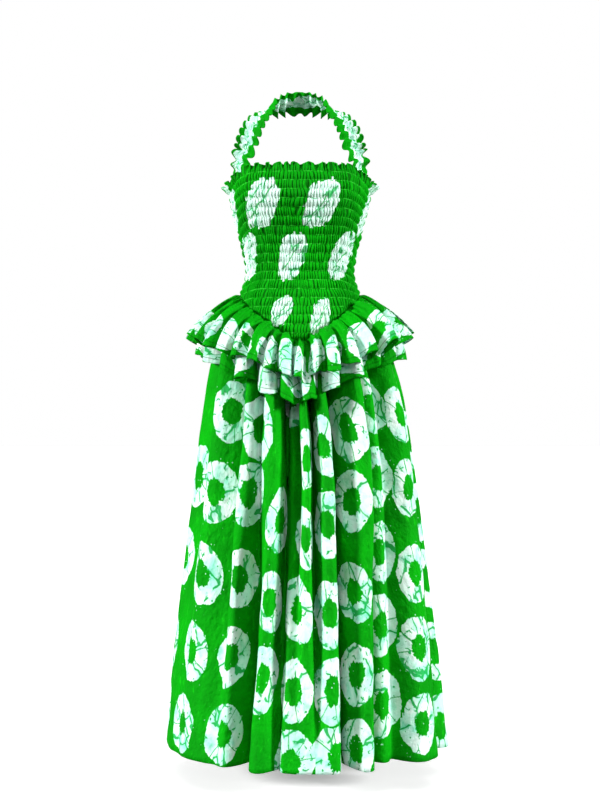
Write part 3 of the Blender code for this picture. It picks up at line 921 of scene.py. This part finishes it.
def dyed_green(g, cloth):
    """The ground: wax-print green, a little uneven as hand-dyed cloth is, with random long bands of painted
    highlight in brighter green.
    """
    uneven = g.noise(cloth, 7.0, 3.0, 0.5)
    colour = g.mix(g.step(uneven, 0.30, 0.70), GREEN, DEEP_GREEN)
    # Painted highlight: long bands down the cloth mixed towards bright green, standing in for light on the
    # cloth.
    painted_highlight = g.step(g.noise(g.vector("MULTIPLY", cloth, (1.0, 0.35, 1.0)), 70.0, 3.0, 0.6), 0.58, 0.74)
    return g.mix(g.math("MULTIPLY", painted_highlight, 0.45), colour, PAINTED_HIGHLIGHT_GREEN)


def veins(g, place, width):
    """Fine dye cracks in the wax, and the wash beside them: the edges of random cells, broken up."""
    bend = g.node("ShaderNodeTexNoise", {"Vector": place, "Scale": 1.9}).outputs[1]
    bent = g.vector("ADD", place, g.scaled(bend, 0.35))
    cracks, washes = [], []
    for scale, thin, shown in ((0.95, 1.0, 0.47), (2.6, 1.5, 0.60)):
        distance = g.cells(bent, scale)["Distance"]
        wide = g.math("MULTIPLY", g.noise(bent, 3.5 * scale), width * thin)
        line = g.step(g.math("SUBTRACT", wide, distance), -0.006, 0.006)
        patchy = g.noise(g.vector("ADD", place, (9.1, 3.3, scale)), 1.5 * scale)
        gate = g.step(patchy, shown - 0.02, shown + 0.02)
        cracks.append(g.math("MULTIPLY", line, gate))
        near = g.step(distance, 0.16, 0.0)
        washes.append(g.math("MULTIPLY", near, g.step(gate, 0.0, 1.0)))
    return g.math("MAXIMUM", *cracks), g.math("MAXIMUM", *washes)


def spokes(g, direction, radius, seed):
    """Dye lines that run out from a ring's middle. 1 on a line."""
    x, y, _ = g.split(direction)
    around = g.math("MULTIPLY", g.math("ARCTAN2", y, x), 8 / TAU)
    bent = g.math("ADD", around, g.math("MULTIPLY", g.noise(g.join(around, radius, seed), 1.4), 0.5))
    cell = g.math("ROUND", bent)
    off = g.math("MULTIPLY", g.math("ABSOLUTE", g.math("SUBTRACT", bent, cell)), radius)
    chance = g.random(g.join(cell, seed, 0.3), "3D")
    line = g.math("LESS_THAN", off, 0.030)
    return g.math("MULTIPLY", line, g.math("LESS_THAN", chance, 0.42))


def cloth_bump(g, cloth, crumple_depth):
    """Crumples a few millimetres to two centimetres across, and the weave."""
    crumple = g.noise(g.vector("MULTIPLY", cloth, (1.0, 0.45, 1.0)), 62.0, 5.0, 0.6)
    sharp = g.math("ABSOLUTE", g.math("SUBTRACT", g.noise(cloth, 34.0, 3.0, 0.55), 0.5))
    crumple = g.math("SUBTRACT", crumple, g.math("MULTIPLY", sharp, 1.6))
    x, y, _ = g.split(cloth)
    threads = []
    for value in (x, y):
        threads.append(g.math("SINE", g.math("MULTIPLY", value, TAU / THREAD_PITCH)))
    weave = g.math("MULTIPLY", g.math("ADD", *threads), 0.004)
    height = g.math("ADD", crumple, weave)
    bump = g.node("ShaderNodeBump", {"Height": height, "Strength": 1.0, "Distance": crumple_depth})
    g.plug(g.shader.inputs["Normal"], bump.outputs[0])


def cotton(g):
    """Plain matt cotton, the same all over."""
    g.shader.inputs["Roughness"].default_value = 0.72
    g.shader.inputs["Specular IOR Level"].default_value = 0.04


def ring_print():
    """White rings with a green disc, crackled with dye, on a green ground."""
    g = Graph("ring_print_cotton")
    cotton(g)
    cloth, place = g.uv("Cloth"), g.uv("Motif")
    seed, has_disc, _ = g.split(g.uv("MotifFacts"))
    apart = g.math("MULTIPLY", seed, 37.0)
    radius = g.vector("LENGTH", place)
    direction = g.vector("NORMALIZE", place)
    x, y, _ = g.split(direction)
    around = g.join(x, y, apart)

    def uneven(scale, amount, shift=0.0):
        return g.math("MULTIPLY", g.math("SUBTRACT", g.noise(around, scale, 1.0), 0.5 - shift), amount)

    rim = g.math("ADD", 0.95, uneven(1.1, 0.36))
    rim = g.math("ADD", rim, g.math("ADD", uneven(3.2, 0.12), uneven(11.0, 0.07)))
    hole = g.math("ADD", 0.38, uneven(1.3, 0.34, 0.1))
    hole = g.math("ADD", hole, g.math("ADD", uneven(4.5, 0.15), uneven(13.0, 0.10)))
    hole = g.math("MULTIPLY", hole, has_disc)
    inside = g.step(g.math("SUBTRACT", rim, radius), -0.012, 0.012)
    outside_hole = g.step(g.math("SUBTRACT", radius, hole), -0.012, 0.012)
    white = g.math("MULTIPLY", inside, outside_hole)

    px, py, _ = g.split(place)
    own = g.join(px, py, apart)
    cracks, wash = veins(g, own, 0.062)
    marks = g.math("MAXIMUM", cracks, spokes(g, direction, radius, apart))
    specks = g.cells(g.vector("ADD", own, (5.0, 1.0, 0.0)), 4.5, "F1")
    chosen = g.math("GREATER_THAN", g.split(specks["Color"])[0], 0.80)
    speck = g.math("MULTIPLY", g.math("LESS_THAN", specks["Distance"], 0.16), chosen)
    marks = g.math("MAXIMUM", marks, speck)

    wet = g.step(g.noise(own, 1.1, 3.0, 0.6), 0.38, 0.62)
    tinted = g.mix(g.math("MULTIPLY", wet, 0.90), WHITE, MINT)
    pooled = g.step(g.noise(g.vector("ADD", own, (2.0, 8.0, 1.0)), 1.5, 4.0, 0.6), 0.50, 0.70)
    tinted = g.mix(g.math("MULTIPLY", pooled, 0.6), tinted, TEAL)
    tinted = g.mix(g.math("MULTIPLY", wash, 0.40), tinted, TEAL)
    tinted = g.mix(g.math("MULTIPLY", marks, 0.94), tinted, VEIN_AND_SHADE_GREEN)

    ground = dyed_green(g, cloth)
    above_hem = g.split(cloth)[1]
    from_stitch = g.math("ABSOLUTE", g.math("SUBTRACT", above_hem, STITCH_ABOVE_HEM))
    stitch = g.step(from_stitch, STITCH_FADED, STITCH_FULL)
    flecks = g.cells(own, 9.0, "F1")
    chosen = g.math("GREATER_THAN", g.split(flecks["Color"])[1], 0.90)
    fleck = g.math("MULTIPLY", g.math("LESS_THAN", flecks["Distance"], 0.20), chosen)
    near = g.step(radius, 1.25, 1.05)
    ground = g.mix(g.math("MULTIPLY", fleck, g.math("MULTIPLY", near, 0.8)), ground, MINT)
    colour = g.mix(white, ground, tinted)
    colour = g.mix(g.math("MULTIPLY", stitch, 0.55), colour, STITCH_AND_SHADE_GREEN)
    g.plug(g.shader.inputs["Base Color"], colour)
    cloth_bump(g, cloth, CRUMPLE_DEPTH)
    return g.material


def shirred_print():
    """The same print drawn up by shirring: leaning white patches. Painted shade in the gathers' valleys marks
    them with green lines and darkens the ground.
    """
    g = Graph("shirred_cotton")
    cotton(g)
    cloth, place = g.uv("Cloth"), g.uv("Motif")
    seed = g.split(g.uv("MotifFacts"))[0]
    apart = g.math("MULTIPLY", seed, 37.0)
    gather, row, _ = g.split(g.uv("Gather"))
    px, py, _ = g.split(place)
    own = g.join(px, py, apart)

    cell = g.join(g.math("FLOOR", gather), g.math("FLOOR", row))
    ragged = g.random(cell, "2D")
    powers = [g.math("POWER", g.math("ABSOLUTE", value), PATCH_SQUARENESS) for value in (px, py)]
    radius = g.math("POWER", g.math("ADD", *powers), 1 / PATCH_SQUARENESS)
    direction = g.vector("NORMALIZE", place)
    x, y, _ = g.split(direction)
    lump = g.math("MULTIPLY", g.math("SUBTRACT", g.noise(g.join(x, y, apart), 1.3), 0.5), 0.30)
    ragged_rim = g.math("MULTIPLY", g.math("SUBTRACT", ragged, 0.5), 0.20)
    rim = g.math("ADD", g.math("ADD", 0.94, lump), ragged_rim)
    white = g.step(g.math("SUBTRACT", rim, radius), -0.02, 0.02)

    slant = g.math("SUBTRACT", py, g.math("MULTIPLY", px, 1.15))
    bend = g.math("MULTIPLY", g.math("SUBTRACT", g.noise(own, 1.6), 0.5), 0.9)
    vein = g.math("LESS_THAN", g.math("ABSOLUTE", g.math("ADD", slant, bend)), 0.065)
    vein = g.math("MULTIPLY", vein, g.step(radius, 0.80, 0.62))
    cracks, wash = veins(g, own, 0.060)
    marks = g.math("MAXIMUM", vein, cracks)

    # Painted shade: the gathers' valleys, where the white patches get green lines and the ground is darkened.
    fold = g.math("ABSOLUTE", g.math("SUBTRACT", g.math("FRACT", gather), 0.5))
    crease = g.step(fold, 0.22, 0.43)
    valley_shade_streak = g.math("MULTIPLY", crease, g.math("GREATER_THAN", ragged, 0.30))
    tinted = g.mix(g.math("MULTIPLY", g.noise(own, 2.0), 0.5), WHITE, MINT)
    tinted = g.mix(g.math("MULTIPLY", wash, 0.35), tinted, TEAL)
    tinted = g.mix(g.math("MULTIPLY", valley_shade_streak, 0.60), tinted, VEIN_AND_SHADE_GREEN)
    tinted = g.mix(g.math("MULTIPLY", marks, 0.85), tinted, VEIN_AND_SHADE_GREEN)

    ground = dyed_green(g, cloth)
    # Painted shade in the gathers' valleys, in the darkest green.
    ground = g.mix(g.math("MULTIPLY", crease, 0.92), ground, STITCH_AND_SHADE_GREEN)
    thread = g.math("ABSOLUTE", g.math("SUBTRACT", g.math("FRACT", g.math("ADD", row, 0.5)), 0.5))
    thread = g.math("MULTIPLY", g.step(thread, 0.05, 0.02), g.step(g.noise(cloth, 60.0), 0.42, 0.60))
    ground = g.mix(g.math("MULTIPLY", thread, 0.6), ground, THREAD_GREEN)
    g.plug(g.shader.inputs["Base Color"], g.mix(white, ground, tinted))
    cloth_bump(g, cloth, SHIRRED_CRUMPLE_DEPTH)
    return g.material


def floor():
    """A plain pale floor just under the hem, which lights the cloth less than it shows."""
    mesh = bpy.data.meshes.new("floor")
    size, z = FLOOR_HALF_SIZE, cad_box[0][2] - FLOOR_BELOW_DRESS
    corners = [(-size, -size, z), (size, -size, z), (size, size, z), (-size, size, z)]
    mesh.from_pydata(corners, [], [(0, 1, 2, 3)])
    obj = bpy.data.objects.new("floor", mesh)
    bpy.context.scene.collection.objects.link(obj)
    material = bpy.data.materials.new("floor_paint")
    material.use_nodes = True
    nodes, links = material.node_tree.nodes, material.node_tree.links
    shader = nodes["Principled BSDF"]
    shader.inputs["Roughness"].default_value = 0.9
    shader.inputs["Emission Color"].default_value = (1, 1, 1, 1)
    seen = nodes.new("ShaderNodeLightPath").outputs["Is Camera Ray"]
    for socket, hidden, shown in (("Base Color", 0.18, 0.93), ("Emission Strength", 0.0, 0.34)):
        amount = nodes.new("ShaderNodeMapRange")
        amount.inputs["To Min"].default_value = hidden
        amount.inputs["To Max"].default_value = shown
        links.new(seen, amount.inputs[0])
        links.new(amount.outputs[0], shader.inputs[socket])
    mesh.materials.append(material)


def soft_light(name, direction, strength, angle):
    """A wide, even light from a direction."""
    light = bpy.data.lights.new(name, "SUN")
    light.energy = strength
    light.angle = math.radians(angle)
    obj = bpy.data.objects.new(name, light)
    bpy.context.scene.collection.objects.link(obj)
    towards = np.array(direction, dtype=float)
    pitch = math.atan2(-towards[1], towards[2])
    obj.rotation_euler = (pitch, math.atan2(towards[0], math.hypot(towards[1], towards[2])), 0)


def studio():
    """Soft lights at both sides, in front, above and behind, a pale surround, and the camera."""
    for light in LIGHTS:
        soft_light(*light)
    world = bpy.data.worlds.new("surround")
    bpy.context.scene.world = world
    world.use_nodes = True
    nodes, links = world.node_tree.nodes, world.node_tree.links
    background = nodes["Background"]
    background.inputs[0].default_value = (1, 1, 1, 1)
    seen = nodes.new("ShaderNodeLightPath").outputs["Is Camera Ray"]
    strength = nodes.new("ShaderNodeMapRange")
    strength.inputs["To Min"].default_value = SURROUND_STRENGTH
    links.new(seen, strength.inputs[0])
    links.new(strength.outputs[0], background.inputs[1])

    camera = bpy.data.cameras.new("camera")
    camera.sensor_fit = "VERTICAL"
    camera.sensor_height = CAMERA_FILM_HEIGHT
    camera.lens = CAMERA_LENS
    camera.shift_y = CAMERA_SHIFT_Y
    obj = bpy.data.objects.new("camera", camera)
    obj.location = (0, -CAMERA_AWAY, CAMERA_Z)
    obj.rotation_euler = (math.pi / 2, 0, 0)
    bpy.context.scene.collection.objects.link(obj)
    bpy.context.scene.camera = obj
    bpy.context.scene.view_settings.view_transform = "Standard"


def dress():
    """All nine cloths, with their two materials."""
    rings, shirred = ring_print(), shirred_print()
    for side in SIDES:
        skirt_panel(side, rings)
        bodice_panel(side, shirred)
        for place in RUFFLES:
            peplum_panel(place, side, rings)
    halter_strap(rings)


dress()
floor()
studio()
